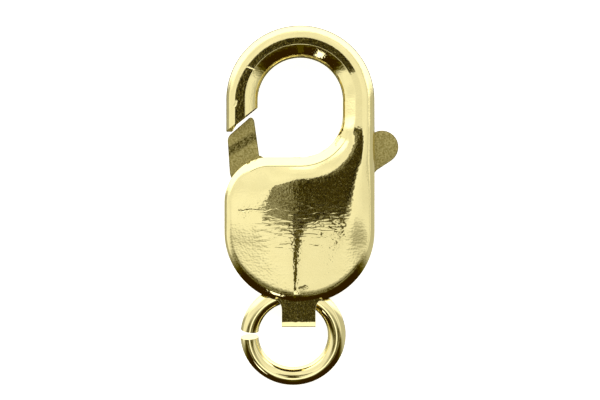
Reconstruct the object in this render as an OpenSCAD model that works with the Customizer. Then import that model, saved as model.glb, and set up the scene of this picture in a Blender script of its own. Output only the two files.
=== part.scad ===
// Lobster clasp for a chain or cord end, with its jump ring, lying on its back.
// A gilt brass strip is stamped into a front and a back shell, folded over at the
// tail and soldered along its edges. A sprung plate lever closes the hook.
// The view from the front looks down on it: +Y runs from the ring to the hook.

/* [Hook] */
// Radius of the hook's outer edge
hook_r = 3.69; // [3.5:0.01:3.9]
// Radius of the eye inside the hook
eye_r = 2.14; // [1.95:0.01:2.3]
// Straight run of the eye's right side, between its upper and lower arcs
eye_run = 0.73; // [0.4:0.01:1.2]
// Thickness of the hook from front to back
hook_t = 2.5; // [2.2:0.05:2.8]
// Slant of the hook's cut end, measured from level
end_slant = 38; // [30:1:45]
// How far the cut's inner corner lies below the middle of the hook
end_drop = 0.43; // [0.3:0.01:0.6]
// Width in plan of the rounded shoulder along each edge of the hook
hook_shoulder = 0.61; // [0.5:0.01:0.7]

/* [Pouch] */
// Thickness of the pouch from front to back
pouch_t = 3.4; // [3.2:0.05:3.8]
// Length of the pouch from its top edge to its round bottom
pouch_len = 7.25; // [6.8:0.05:8]
// How far the pouch's left edge stands out past the hook's
pouch_step = 0.08; // [0:0.01:0.2]
// Radius of the pouch's bottom corners
bottom_r = 3.53; // [3.3:0.01:3.6]
// Radius of the pouch's top left corner
corner_r = 2.25; // [1.8:0.05:2.6]
// Width in plan of the bevel between the pouch's edge and its face
bevel_w = 1.5; // [1.2:0.05:1.7]
// Share of the thickness that the face loses towards the tail
tail_fall = 0.165; // [0:0.005:0.25]
// Doming of the back face as a share of the front's
back_dome = 0.35; // [0.2:0.05:1]
// Thickness of the brass sheet
wall = 0.25; // [0.2:0.01:0.3]

/* [Tail strap] */
// Width of the strap that folds over at the tail
strap_w = 1.68; // [1.4:0.02:1.9]
// How far the fold reaches below the pouch
strap_drop = 1.2; // [1:0.05:1.5]
// Radius of the fillets where the strap leaves the pouch
flare_r = 0.45; // [0.2:0.05:0.6]
// Outer radius of the fold
fold_r = 0.95; // [0.85:0.01:1.1]
// How far the strap's middle lies from the middle of the hook
strap_x = -0.08; // [-0.2:0.01:0.1]

/* [Lever] */
// Thickness of the lever's plate
lever_t = 1; // [0.8:0.05:1.2]
// Play between the lever and the edges of its slots
slot_play = 0.08; // [0.06:0.01:0.12]
// Angle through which the lever opens
open_angle = 26; // [20:1:28]
// How far the pivot lies from the middle of the hook
pivot_x = -0.16; // [-0.4:0.01:0]
// Radius of the lever's hub
hub_r = 0.96; // [0.85:0.01:1.1]
// Gap between the jaw's tip and the hook's cut end
jaw_gap = 0.17; // [0.12:0.01:0.3]
// Radius of the thumb tab's round end
thumb_r = 0.82; // [0.7:0.01:0.9]
// How far the thumb tab stands out past the pouch's right edge
thumb_out = 1.2; // [1:0.05:1.3]
// How far the thumb tab's middle lies below the middle of the hook
thumb_drop = 2.36; // [2.2:0.02:2.6]

/* [Pivot pin] */
// Diameter of the pivot pin
pin_d = 0.8; // [0.6:0.05:1]
// Play of the lever's bore round the pin, on the diameter
bore_play = 0.06; // [0.04:0.01:0.1]
// Play between the pin's ends and the two shells
end_play = 0.04; // [0.03:0.01:0.06]

/* [Jump ring] */
// Outer diameter of the jump ring
ring_od = 5.28; // [5:0.02:5.6]
// Diameter of the ring's wire
wire_d = 0.9; // [0.8:0.01:0.95]
// Width of the slit where the ring's ends meet
slit_w = 0.36; // [0.2:0.02:0.5]
// Angle of the slit round the ring, from its far end
slit_at = 92; // [60:1:120]
// How far the ring's middle lies from the middle of the hook
ring_x = -0.36; // [-0.5:0.01:-0.1]

/* [Hidden] */
$fn = 64;

band = hook_r - eye_r;
eye_low = -eye_run;
pouch_top = eye_low - eye_r;
pouch_low = pouch_top - pouch_len;
left_x = -hook_r - pouch_step;
mid_z = pouch_t / 2;
fold_y = pouch_low - strap_drop + fold_r;
pivot_y = pouch_low + bottom_r;
pin_len = pouch_t - 2 * wall - 2 * end_play;

// The ring hangs in the strap and its far end lies on the ground.
ring_r = (ring_od - wire_d) / 2;
ring_y = pouch_low + wire_d / 2;
ring_tilt = asin((mid_z - wire_d / 2) / (2 * ring_r));
ring_low = ring_y - 2 * ring_r * cos(ring_tilt) - wire_d / 2;

// Middle of the clasp's box, which goes to the origin.
box_x = (left_x + hook_r + thumb_out) / 2;
box_y = (hook_r + ring_low) / 2;

// Section of the hook and of the pouch from the seam up to the face, a row for
// each step: share of the shoulder or bevel in from the edge, and share of the
// half thickness.
HOOK_FORM = [[0, 0], [0, 0.3], [0.07, 0.52], [0.2, 0.7], [0.38, 0.83], [0.6, 0.92],
             [0.8, 0.97], [1, 1]];
POUCH_FORM = [[0, 0], [0, 0.3], [0.03, 0.52], [0.09, 0.67], [0.18, 0.78], [0.3, 0.85],
              [0.65, 0.91], [1, 0.955]];

// The pouch's face inside its bevel: share of the way in to the middle, and share
// of the rise that is left.
FACE_FORM = [[0.35, 0.67], [0.7, 0.95]];

// The shells

function mix(a, b, k) = a + (b - a) * k;
function ramp(x, a, b) = let (t = max(0, min(1, (x - a) / (b - a)))) t * t * (3 - 2 * t);

// Points of an arc, each as [x, y, direction that it faces]. flip turns that
// direction inwards, for the edge of a hole.
function arc(cx, cy, r, a0, a1, n, flip = 0) =
    [for (i = [0:n]) let (a = mix(a0, a1, i / n))
        [cx + r * cos(a), cy + r * sin(a), a + flip]];

// Points between p and q, which both face the direction a.
function run(p, q, a, n) =
    [for (i = [1:n - 1]) [mix(p.x, q.x, i / n), mix(p.y, q.y, i / n), a]];

// The outline from the hook's end round the eye, the pouch and back over the hook,
// with n steps to a quarter of the hook and over as far round as end_a.
end_a = 214;
function outline(n) =
    let (h = round(n * end_a / 90),
         eye = arc(0, 0, eye_r, end_a, 0, h, 180),
         rim = arc(0, eye_low, eye_r, 0, -90, n, 180),
         tl = arc(left_x + corner_r, pouch_top - corner_r, corner_r, 90, 180, n),
         bl = arc(left_x + bottom_r, pivot_y, bottom_r, 180, 270, n),
         br = arc(hook_r - bottom_r, pivot_y, bottom_r, 270, 360, n),
         out = arc(0, 0, hook_r, 0, end_a, h),
         neck = [hook_r, eye_low, 0])
    concat(eye, rim, run(rim[n], tl[0], 90, 4), tl, run(tl[n], bl[0], 180, 3), bl, br,
           run(br[n], neck, 0, round(0.9 * n)), [neck], out);

// How far a point of the outline belongs to the pouch, in plan and in thickness.
// Round the eye it goes by the angle past the neck, and else by the height.
function round_eye(p) = p.x > 0 && norm([p.x, p.y - min(0, max(p.y, eye_low))]) < eye_r + 0.01;
function wide(p) = p.x <= 0 && p.y < 0 ? (p.y < pouch_top + 0.01 ? 1 : 0)
    : round_eye(p) ? ramp(atan2(p.x, eye_low - p.y), 65, 5)
    : ramp(p.y, eye_low - 0.5, pouch_top - 1.7);
function thick(p) = p.x <= 0 && p.y < 0 ? wide(p) : ramp(p.y, eye_r * 0.6, eye_low - 1.6);

// The face falls away towards the tail.
function fall(y, share) =
    1 - tail_fall * share * pow(max(0, (mid_y - y) / (mid_y - pouch_low)), 2);

mid_x = (left_x + hook_r) / 2;
mid_y = (pouch_top + pouch_low) / 2 + 0.6;

// The whole form as one closed solid: a strip of ribs along the outline from the
// front face round the seam to the back, closed by the two faces. It is inset by
// the sheet's thickness where skin is 1 and full where it is 0.
module shell_form(skin, n) {
    edge = outline(n);
    count = len(edge);
    neck = round(n * end_a / 90) + round(0.9 * n);
    m = len(HOOK_FORM);
    d0 = skin * wall;
    front = [for (j = [0:m - 1]) [for (p = edge)
        let (d = d0 + mix(HOOK_FORM[j][0] * hook_shoulder, POUCH_FORM[j][0] * bevel_w, wide(p))
                 * (1 - skin * 0.15),
             y = p.y - d * sin(p[2]))
        [p.x - d * cos(p[2]), y, fall(y, 1) * mix(HOOK_FORM[j][1], POUCH_FORM[j][1], thick(p))
            * (mix(hook_t, pouch_t, thick(p)) / 2 - d0)]]];
    back = [for (j = [0:m - 1]) [for (i = [0:count - 1])
        let (p = front[j][i], k = thick(edge[i]), h = mix(hook_t, pouch_t, k) / 2 - d0,
             z = p.z / fall(p.y, 1))
        [p.x, p.y, -fall(p.y, back_dome)
            * (z + (z > 0.88 * h ? k * (1 - back_dome) * (h - z) : 0))]]];
    ribs = concat([for (j = [m - 1:-1:0]) front[j]], [for (j = [1:m - 1]) back[j]]);
    rows = len(ribs);

    // The hook and its arm are closed across by quads from its inner to its outer
    // edge, and the pouch's two faces ring by ring to a middle point.
    loop = [for (i = [neck:count - 1 - neck]) i];
    size = len(loop);
    faces_of = [for (side = [1, -1]) let (last = side > 0 ? front[m - 1] : back[m - 1])
        [for (f = FACE_FORM) [for (i = loop) let (p = last[i], h = mid_z - d0,
             y = mix(p.y, mid_y, f[0]))
            [mix(p.x, mid_x, f[0]), y, mix(p.z, side * h, f[1])]]]];
    points = concat([for (r = ribs) each r], [for (f = faces_of, r = f) each r],
                    [[mid_x, mid_y, mid_z - d0], [mid_x, mid_y, d0 - mid_z]]);
    first = [rows * count, rows * count + 2 * size];
    middle = first[1] + 2 * size;

    walls = [for (t = [0:rows - 2], i = [0:count - 2]) let (a = t * count + i)
        [a, a + 1, a + 1 + count, a + count]];
    bridge = [for (i = [0:neck - 1]) [count - 1 - i, count - 2 - i, i + 1, i]];
    low = (rows - 1) * count;
    under = [for (f = bridge) [for (k = [3:-1:0]) f[k] + low]];
    end = concat([for (t = [0:rows - 1]) t * count],
                 [for (t = [rows - 1:-1:0]) t * count + count - 1]);
    caps = [for (side = [0, 1], k = [0:size - 1], r = [0:2])
        let (l = (k + 1) % size, top = side == 0 ? 0 : low,
             o = r == 0 ? [top + loop[k], top + loop[l]]
                 : [first[side] + (r - 1) * size + k, first[side] + (r - 1) * size + l],
             q = [first[side] + r * size + k, first[side] + r * size + l],
             f = r == 2 ? [o[0], middle + side, o[1]] : [o[0], q[0], q[1], o[1]])
        side == 0 ? f : [for (j = [len(f) - 1:-1:0]) f[j]]];
    polyhedron(points = points, faces = concat(walls, bridge, under, [end], caps));
}

// Everything past the hook's slanted end.
module end_cut() {
    translate([end_in.x, end_in.y, 0]) rotate(end_slant)
        translate([-2 * band, -band, -hook_t]) cube([3 * band, band, 2 * hook_t]);
}

// The outline of the lever

// A jaw limb and a thumb limb, each convex pieces between round corners.
slant = [cos(end_slant), sin(end_slant)];
end_in = [-sqrt(pow(eye_r, 2) - pow(end_drop, 2)), -end_drop];
tip = end_in + jaw_gap * [slant.y, -slant.x] + 0.1 * [-slant.x, -slant.y];

module jaw_piece(i, grow) {
    if (i == 0) hull() {
        translate([tip.x - 0.12, tip.y - 0.22]) circle(r = 0.2 + grow);
        translate([left_x + 0.55, tip.y - 1.15]) circle(r = 0.4 + grow);
        translate([left_x + 0.9, pouch_top - 0.7]) circle(r = 0.65 + grow);
        translate([-eye_r - 0.42, pouch_top + 0.7]) circle(r = 0.35 + grow);
    }
    if (i == 1) hull() {
        translate([left_x + 0.9, pouch_top - 0.7]) circle(r = 0.65 + grow);
        translate([-eye_r - 0.1, pouch_top - 0.3]) circle(r = 0.4 + grow);
        translate([pivot_x, pivot_y]) circle(r = hub_r + grow);
    }
}

module thumb_piece(i, grow) {
    cx = hook_r + thumb_out - thumb_r;
    if (i == 0) hull() {
        translate([cx, -thumb_drop]) circle(r = thumb_r + grow);
        translate([cx - 0.8, -thumb_drop - 0.53]) circle(r = thumb_r + grow);
    }
    if (i == 1) hull() {
        translate([cx - 0.8, -thumb_drop - 0.53]) circle(r = thumb_r + grow);
        translate([pivot_x, pivot_y]) circle(r = hub_r + grow);
    }
}

// Turns a flat shape about the pivot.
module turned(a) {
    translate([pivot_x, pivot_y]) rotate(a) translate([-pivot_x, -pivot_y]) children();
}

// What a limb sweeps as the lever opens, with its play.
module swept(limb) {
    steps = 4;
    for (i = [0, 1], k = [0:steps - 1]) hull() {
        for (s = [k, k + 1]) turned(-open_angle * s / steps)
            if (limb == "jaw") jaw_piece(i, slot_play, $fn = 24);
            else thumb_piece(i, slot_play, $fn = 24);
    }
}

// The strap

// Side view of the folded strap, from the pouch to the fold.
module strap_side(skin) {
    hull() {
        translate([fold_y, 0]) circle(r = fold_r - skin * wall, $fn = 40);
        translate([pouch_low + 0.35, 0]) circle(r = pouch_t * 0.41 - skin * wall, $fn = 40);
    }
}

// Front view of it, with the fillets that run into the pouch.
module strap_plan() {
    y = pouch_low - flare_r;
    half = concat([[strap_w / 2, pouch_low - strap_drop - 1]],
        [for (a = [180:-15:90]) [strap_w / 2 + flare_r * (1 + cos(a)), y + flare_r * sin(a)]],
        [[strap_w / 2 + flare_r, pouch_low + 1.5]]);
    n = len(half);
    translate([strap_x, 0])
        polygon(concat(half, [for (i = [n - 1:-1:0]) [-half[i].x, half[i].y]]));
}

module strap_form(skin) {
    w = strap_w + 2 * flare_r + 1 + skin;
    if (skin == 0) intersection() {
        translate([strap_x - w / 2, 0, 0]) rotate([90, 0, 90])
            linear_extrude(w) strap_side(skin);
        linear_extrude(2 * pouch_t, center = true) strap_plan();
    }
    else translate([strap_x - w / 2, 0, 0]) rotate([90, 0, 90])
        linear_extrude(w) strap_side(skin);
}

// The pouch's side wall is cut away where the ring's wire goes in and out beside
// the strap, and where it swings.
pass_t = wire_d + 1.2;
pass_w = 2 * ring_r - 0.65;
module ring_pass() {
    translate([ring_x, pouch_low, 0]) cube([pass_w, 2, pass_t], center = true);
}

// The pieces

module at_home() {
    translate([-box_x, -box_y, mid_z]) children();
}

// Front and back shells, folded strap and hook: one soldered hollow piece.
module body() {
    color("#d9b95c") at_home() difference() {
        union() {
            difference() {
                shell_form(0, 9);
                end_cut();
                ring_pass();
            }
            strap_form(0);
        }
        shell_form(1, 6);
        strap_form(1);
        for (limb = ["jaw", "thumb"])
            linear_extrude(lever_t + 2 * slot_play, center = true) swept(limb);
    }
}

// Flat sprung plate with the closing jaw, its hub and the thumb tab.
module lever() {
    color("#b3a76d") at_home() difference() {
        linear_extrude(lever_t, center = true) {
            for (i = [0, 1]) jaw_piece(i, 0, $fn = 32);
            for (i = [0, 1]) thumb_piece(i, 0, $fn = 32);
        }
        translate([pivot_x, pivot_y, 0])
            cylinder(d = pin_d + bore_play, h = lever_t + 1, center = true);
    }
}

// Plain pin between the two shells, on which the lever turns.
module pivot_pin() {
    color("#a89c62") at_home() translate([pivot_x, pivot_y, 0])
        cylinder(d = pin_d, h = pin_len, center = true);
}

// Round wire ring, sawn open at its side, through the folded strap.
module jump_ring() {
    slit = 2 * asin(slit_w / 2 / ring_r);
    color("#e3c874") at_home() translate([ring_x, ring_y, 0]) rotate([ring_tilt, 0, 0])
        translate([0, -ring_r, 0]) rotate(-90 - slit_at + slit / 2)
        rotate_extrude(angle = 360 - slit) translate([ring_r, 0]) circle(d = wire_d);
}

body();
lever();
pivot_pin();
jump_ring();
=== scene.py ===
"""Looks of a gilt lobster clasp with its jump ring, lying face up on a white table.

Sizes are in mm from the middle of the hook's eye, X to the right, Y from the tail to
the hook and Z up from the seam between the two shells. home() takes them to the frame.
"""
import math

import bmesh
import bpy
import numpy as np
from mathutils import Matrix, Vector
from mathutils.geometry import delaunay_2d_cdt
from mathutils.kdtree import KDTree


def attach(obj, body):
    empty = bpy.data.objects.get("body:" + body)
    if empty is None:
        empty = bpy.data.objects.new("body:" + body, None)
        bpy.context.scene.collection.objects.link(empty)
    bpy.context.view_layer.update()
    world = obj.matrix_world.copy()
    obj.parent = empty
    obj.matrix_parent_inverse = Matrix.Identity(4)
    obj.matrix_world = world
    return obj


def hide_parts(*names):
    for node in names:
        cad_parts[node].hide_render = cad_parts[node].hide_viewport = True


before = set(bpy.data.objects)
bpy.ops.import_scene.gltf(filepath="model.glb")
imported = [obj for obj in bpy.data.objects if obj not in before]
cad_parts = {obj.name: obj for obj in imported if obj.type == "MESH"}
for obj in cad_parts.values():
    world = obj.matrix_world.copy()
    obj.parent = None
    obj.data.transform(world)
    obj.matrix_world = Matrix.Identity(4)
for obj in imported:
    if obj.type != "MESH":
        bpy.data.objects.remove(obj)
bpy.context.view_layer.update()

# The clasp's two shells, with the hook.
# The real ones are the halves of one gilt brass strip 0.25 mm thick, stamped in a die,
# folded over at the tail and soldered along the seam at half height.

MM = 0.001
# The hook's outer radius, the eye's radius, and how far the eye runs straight down.
HOOK_R, EYE_R, EYE_RUN = 3.69, 2.14, 0.73
# The pouch: its left side, the corner above it, the round bottom, and its top and bottom.
LEFT, CORNER_R, BOTTOM_R = -3.77, 2.25, 3.53
TOP, LOW = -2.87, -10.12
# The sheet's thickness, the middle of the whole part, and half the pouch's thickness.
SHEET = 0.25
BOX_X, BOX_Y, HALF = 0.56, -5.314, 1.7
# The hook's open leg runs straight down: inside this far, and outside so much further.
LEG, LEG_MORE = 1.1, 0.8


def home(x, y, z):
    """A place in mm from the hook's middle, in the frame's metres."""
    return ((x - BOX_X) * MM, (y - BOX_Y) * MM, (z + HALF) * MM)


def ramp(v, a, b):
    """0 at a and 1 at b, with soft ends."""
    t = np.clip((np.asarray(v, float) - a) / (b - a), 0, 1)
    return t * t * (3 - 2 * t)


def mix(a, b, t):
    return a + (b - a) * t


def along_arc(cx, cy, r, a0, a1, facing, step):
    """Points on an arc with their outward normals. facing is -1 round a hole."""
    n = max(2, int(abs(math.radians(a1 - a0)) * r / step))
    a = np.radians(np.linspace(a0, a1, n + 1)[:-1])
    return np.stack([cx + r * np.cos(a), cy + r * np.sin(a), facing * np.cos(a), facing * np.sin(a)], 1)


def along_line(p, q, normal, step):
    """Points on a straight edge, each with the same outward normal."""
    n = max(2, int(math.dist(p, q) / step))
    t = np.linspace(0, 1, n + 1)[:-1, None]
    xy = np.array(p) * (1 - t) + np.array(q) * t
    return np.concatenate([xy, np.tile(normal, (n, 1))], 1)


def outline(step):
    """Once round from the hook's end by way of the eye, the pouch and the arm. Each row
    is a point's x and y, then its outward normal's x and y."""
    left_mid, right_mid = LEFT + BOTTOM_R, HOOK_R - BOTTOM_R
    bottom_mid = LOW + BOTTOM_R
    return np.concatenate([
        along_line((-EYE_R, -LEG), (-EYE_R, 0), (1, 0), step),
        along_arc(0, 0, EYE_R, 180, 0, -1, step),
        along_line((EYE_R, 0), (EYE_R, -EYE_RUN), (-1, 0), step),
        along_arc(0, -EYE_RUN, EYE_R, 0, -90, -1, step),
        along_line((0, TOP), (LEFT + CORNER_R, TOP), (0, 1), step),
        along_arc(LEFT + CORNER_R, TOP - CORNER_R, CORNER_R, 90, 180, 1, step),
        along_line((LEFT, TOP - CORNER_R), (LEFT, bottom_mid), (-1, 0), step),
        along_arc(left_mid, bottom_mid, BOTTOM_R, 180, 270, 1, step),
        along_line((left_mid, LOW), (right_mid, LOW), (0, -1), step),
        along_arc(right_mid, bottom_mid, BOTTOM_R, 270, 360, 1, step),
        along_line((HOOK_R, bottom_mid), (HOOK_R, 0), (1, 0), step),
        along_arc(0, 0, HOOK_R, 0, 180, 1, step),
        along_line((-HOOK_R, 0), (-HOOK_R, -LEG - LEG_MORE), (-1, 0), step)])


EDGE = outline(0.06)
COUNT = len(EDGE)
# The eye's side of the edge comes first, down to the middle of the pouch's top.
EYE_SIDE = (np.arange(COUNT) < np.argmin(np.hypot(EDGE[:, 0], EDGE[:, 1] - TOP))).astype(float)

# The pressed rim, by place on the edge. Columns: x and y of the place, the bevel's width
# and height, and the width and height of the round shoulder outside it. Along the eye a
# steep wall takes the shoulder's place.
RIM = [
    (2.0, -1.4, 0.3, 0.27, 0.5, 0.3),
    (1.84, -1.83, 0.3, 0.27, 0.5, 0.3),
    (1.22, -2.48, 0.8, 0.27, 0.5, 0.3),
    (0.6, -2.8, 0.62, 0.27, 0.5, 0.3),
    (0, TOP, 0.52, 0.27, 0.5, 0.3),
    (-0.8, TOP, 0.72, 0.27, 0.5, 0.3),
    (-1.5, TOP, 1.15, 0.27, 0.5, 0.3),
    (-2.9, -3.4, 1.8, 0.3, 0.5, 0.3),
    (LEFT, -4.9, 2.05, 0.21, 0.4, 0.3),
    (LEFT, -7, 1.9, 0.2, 0.4, 0.3),
    (-3.3, -8.3, 1.7, 0.25, 0.5, 0.4),
    (-2.4, -9.3, 1.2, 0.1, 0.7, 0.55),
    (-1.0, -10, 0.8, 0.03, 0.75, 0.45),
    (1.0, -10, 0.8, 0.03, 0.75, 0.45),
    (2.5, -9.2, 1.0, 0.1, 0.7, 0.55),
    (3.4, -8.0, 1.0, 0.25, 0.5, 0.4),
    (HOOK_R, -6.6, 0.8, 0.36, 0.3, 0.25),
    (HOOK_R, -4.8, 0.75, 0.36, 0.3, 0.25),
    (HOOK_R, -3.5, 0.35, 0.36, 0.3, 0.2),
    (HOOK_R, -2.2, 0.06, 0.3, 0.3, 0.2)]
# How many edge points the rim's values are evened out over, to each side.
SPREAD = 12
# The pouch turns into the hook between these angles from straight down, along the eye,
# and between these places in Y on the right side.
TURN_EYE, TURN_RIGHT = (48, 88), (-3.4, -0.9)


def eased(v, a, b, ease):
    """0 before a, 1 after b, straight between but for the eased ends."""
    v, length = (np.asarray(v, float) - a) * np.sign(b - a), abs(b - a)
    start = np.clip(v, 0, ease) ** 2 / (2 * ease) + np.clip(v - ease, 0, length - 2 * ease)
    end = np.clip(v - length + ease, 0, ease)
    return (start + end - end ** 2 / (2 * ease)) / (length - ease)


def edge_values():
    """Along the edge: how far it is the pouch's, how far it has the ledge, and the rim."""
    x, y = EDGE[:, 0], EDGE[:, 1]
    spots = sorted((int(np.argmin((x - bx) ** 2 + (y - by) ** 2)), *w) for bx, by, *w in RIM)
    rim = []
    for k in (1, 2, 3, 4):
        values = np.interp(np.arange(COUNT), [s[0] for s in spots], [s[k] for s in spots])
        window = 2 * SPREAD + 1
        rim.append(np.convolve(np.pad(values, SPREAD, mode="edge"), np.ones(window) / window, mode="valid"))
    pouch = np.ones(COUNT)
    eye = (x > 0) & (np.hypot(x, y + EYE_RUN) < EYE_R + 0.01) & (y < -EYE_RUN + 0.01)
    pouch[eye] = 1 - ramp(np.degrees(np.arctan2(x[eye], -EYE_RUN - y[eye])), *TURN_EYE)
    right = (x > 2.9) & (y > -7)
    pouch[right] = 1 - ramp(y[right], *TURN_RIGHT)
    pouch[y > -EYE_RUN] = 0
    pouch[(x < 0) & (y > -2)] = 0
    # The crease shows as a line from the pouch's upper left corner to the eye's lower right.
    first = np.argmin(np.hypot(x - 1.85, y + 1.65))
    last = np.argmin(np.hypot(x + 3.1, y + 3.45))
    ledge = np.interp(np.arange(COUNT), [first - 6, first + 2, last - 12, last + 6], [0, 1, 1, 0])
    return pouch, ledge, *rim


EDGE_VALUES = np.stack([EYE_SIDE, *edge_values()])

# Heights over the seam: the hook's ridge, the pouch's front and back faces, and the ledge
# and the edge beside the eye. The ledge lies CREASE_IN from the edge, give or take CREASE_W.
HOOK_TOP, FACE_TOP, BACK_TOP = 1.25, 1.66, 1.69
CREASE, CREASE_IN, CREASE_W, LIP = 1.41, 0.45, 0.02, 1.06
# The face climbs from the hook to the pouch between these places in Y, with eased ends.
CLIMB_FROM, CLIMB_TO, CLIMB_EASE = 1.53, -1.73, 0.4
# The hook's slope to the eye, and its outer shoulder, narrower on the open leg.
SLOPE_W, SHOULDER_W, SHOULDER_DROP, LEG_LESS = 0.6, 0.625, 0.625, 0.18
# Below TAIL_Y the face falls to the tail.
TAIL_Y, TAIL_FALL = -5.55, 0.138
# The keel lies at KEEL_X. At KEEL_DOWN below the eye's middle its radius is KEEL_R. To its
# sides the face falls by KEEL_FALL a mm, and evens out at KEEL_REACH.
KEEL_X, KEEL_DOWN, KEEL_R = -0.3, [4.0, 6.25, 7.75, 8.75, 9.4], [1.6, 0.73, 0.33, 0.07, 0.07]
KEEL_FALL, KEEL_REACH = 0.085, 1.8
# Left of LEAN_X the face leans outwards.
LEAN_X, LEAN_FALL, LEAN_SOFT = 0.1, 0.045, 0.64
# The back is stamped with the same die lines, but flatter.
BACK_SHARE = 0.35


def levels(x, y, inset, values, back):
    """Height of the stamped face above the seam at points inset from the edge."""
    eye, pouch, ledge, bevel, bevel_h, round_w, round_h = values
    arm = np.where((x < 0) & (y > -2.5), 0, eased(y, CLIMB_FROM, CLIMB_TO, CLIMB_EASE))
    face = BACK_TOP if back else FACE_TOP
    top = mix(HOOK_TOP, face, arm)
    # The hook is hollow-ground towards the eye and round on its outer shoulder.
    u = 1 - np.clip(inset / SLOPE_W, 0, 1)
    inner = top - 0.34 * u - 0.06 * u ** 2 - 0.06 * u ** 12
    width = SHOULDER_W - LEG_LESS * ramp(-x, 1.8, 3.0) * ramp(-y, -2.6, 0.2)
    u = 1 - np.clip(inset / width, 0, 1)
    outer = top - SHOULDER_DROP * (0.1 * u + 0.225 * u ** 2 + 0.3 * u ** 4 + 0.46 * u ** 13)
    hook = mix(outer, inner, eye)
    # By the eye the pouch has a steep wall, a narrow ledge that shows as a line, and a bevel.
    t = np.clip(inset / (CREASE_IN - CREASE_W), 0, 1)
    wall = LIP + (CREASE - LIP) * (1.15 * t - 0.15 * t * t)
    t = np.clip((inset - CREASE_IN - CREASE_W) / bevel, 0, 1)
    creased = np.where(inset < CREASE_IN + CREASE_W, wall, CREASE + (face - CREASE) * (1 - (1 - t) ** 1.5))
    # Elsewhere the bevel ends in a round shoulder.
    t = np.clip(inset / (bevel + CREASE_IN), 0, 1)
    u = 1 - np.clip(inset / round_w, 0, 1)
    soft = face - bevel_h * (1 - t) ** 1.5 - round_h * u ** 3
    z = mix(hook, mix(soft, creased, ledge), pouch)
    # Below the middle the face falls away to the tail, with a keel that sharpens on the way.
    tail = np.maximum(TAIL_Y - y, 0)
    drop = TAIL_FALL * (np.sqrt(tail ** 2 + 1) - 1)
    aside = x - KEEL_X
    keel = np.interp(-y, KEEL_DOWN, KEEL_R)
    ridge = KEEL_REACH * np.tanh((np.sqrt(aside ** 2 + keel ** 2) - keel) / KEEL_REACH)
    drop = drop + KEEL_FALL * ridge * ramp(-y, 5.0, 7.4)
    # Left of the middle the face leans a little outwards.
    lean = np.sqrt(np.minimum(x - LEAN_X, 0) ** 2 + LEAN_SOFT) - math.sqrt(LEAN_SOFT)
    drop = drop + LEAN_FALL * lean * ramp(-y, 2.2, 2.8)
    return z * (1 - drop * (BACK_SHARE if back else 1) / face)


# Rows of points at growing insets, so that wall, crease and bevel stay sharp.
ROWS = [0, 0.02, 0.05, 0.09, 0.14, 0.2, 0.27, 0.34, 0.39, 0.42, 0.435, 0.45, 0.465, 0.48, 0.51, 0.545, 0.575,
        0.595, 0.61, 0.63, 0.66, 0.7]
# Inside them lies a net of triangles NET wide. It starts this far from the edge in the hook
# and in the pouch, which begins at POUCH_Y and has more rows in the space between.
NET, HOOK_CLEAR, POUCH_CLEAR, POUCH_Y = 0.085, 0.75, 1.28, -2.2
POUCH_ROWS = (0.76, 0.82, 0.885, 0.955, 1.03, 1.11, 1.2)
# Points further in than this are evened out, so many times over.
POLISH_FROM, POLISH_ROUNDS = 0.65, 12


def blank():
    """The flat sheet before it is pressed: rows along the edge and a net inside.
    Gives the points, their insets, the edge point that each belongs to, and the faces."""
    xy = [EDGE[:, :2]] + [EDGE[:, :2] - d * EDGE[:, 2:] for d in ROWS]
    inset = [np.full(COUNT, -1.0)] + [np.full(COUNT, d) for d in ROWS]
    owner = [np.arange(COUNT)] * (len(ROWS) + 1)
    faces = []
    for r in range(len(ROWS)):
        a = r * COUNT
        faces += [(a + i, a + COUNT + i, a + COUNT + i + 1, a + i + 1) for i in range(COUNT - 1)]
    tree = KDTree(COUNT)
    for i, p in enumerate(EDGE):
        tree.insert((p[0], p[1], 0), i)
    tree.balance()
    gx, gy = np.meshgrid(np.arange(LEFT, HOOK_R, NET), np.arange(LOW, HOOK_R, NET * 0.866))
    gx = gx + (np.arange(gx.shape[0]) % 2)[:, None] * NET / 2
    net = []
    for x, y in zip(gx.ravel(), gy.ravel()):
        _, i, d = tree.find((x, y, 0))
        inside = (EDGE[i, 0] - x) * EDGE[i, 2] + (EDGE[i, 1] - y) * EDGE[i, 3] > 0
        if inside and d > (POUCH_CLEAR if y < POUCH_Y else HOOK_CLEAR):
            net.append((x, y))
    # Inside the pouch's rim the net still follows the edge.
    for d in POUCH_ROWS:
        for x, y in (EDGE[:, :2] - d * EDGE[:, 2:])[::1 if d < 1 else 2]:
            if y < POUCH_Y and tree.find((x, y, 0))[2] > d - 0.004:
                net.append((x, y))
    points = [Vector((x, y)) for x, y in xy[-1]] + [Vector(p) for p in net]
    loop = list(range(COUNT))
    got, _, tris, back, _, _ = delaunay_2d_cdt(
        points, [(i, (i + 1) % COUNT) for i in loop], [loop], 1, 1e-6, True)
    number, inner_xy, inner_in, inner_owner = [], [], [], []
    for v, origin in enumerate(back):
        if len(origin) and min(origin) < COUNT:
            number.append(len(ROWS) * COUNT + min(origin))
            continue
        x, y = got[v]
        _, i, d = tree.find((x, y, 0))
        number.append((len(ROWS) + 1) * COUNT + len(inner_xy))
        inner_xy.append((x, y))
        inner_in.append(d)
        inner_owner.append(i)
    for t in tris:
        # Triangles of three near points of the last row are kept only on its inner side.
        a, b, c = sorted(number[k] - len(ROWS) * COUNT for k in t)
        if c < COUNT and c - a < 10 and (xy[-1][b] - (xy[-1][a] + xy[-1][c]) / 2) @ EDGE[b, 2:] < 1e-9:
            continue
        x, y = (sum(got[k][i] for k in t) / 3 for i in (0, 1))
        e = EDGE[tree.find((x, y, 0))[1]]
        longest = max(math.dist(got[t[k]], got[t[k - 1]]) for k in range(3))
        if (e[0] - x) * e[2] + (e[1] - y) * e[3] > 0.5 and longest < 0.4:
            faces.append(tuple(number[k] for k in t))
    return (np.concatenate(xy + [np.array(inner_xy)]), np.concatenate(inset + [np.array(inner_in)]),
            np.concatenate(owner + [np.array(inner_owner)]), faces)


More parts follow.
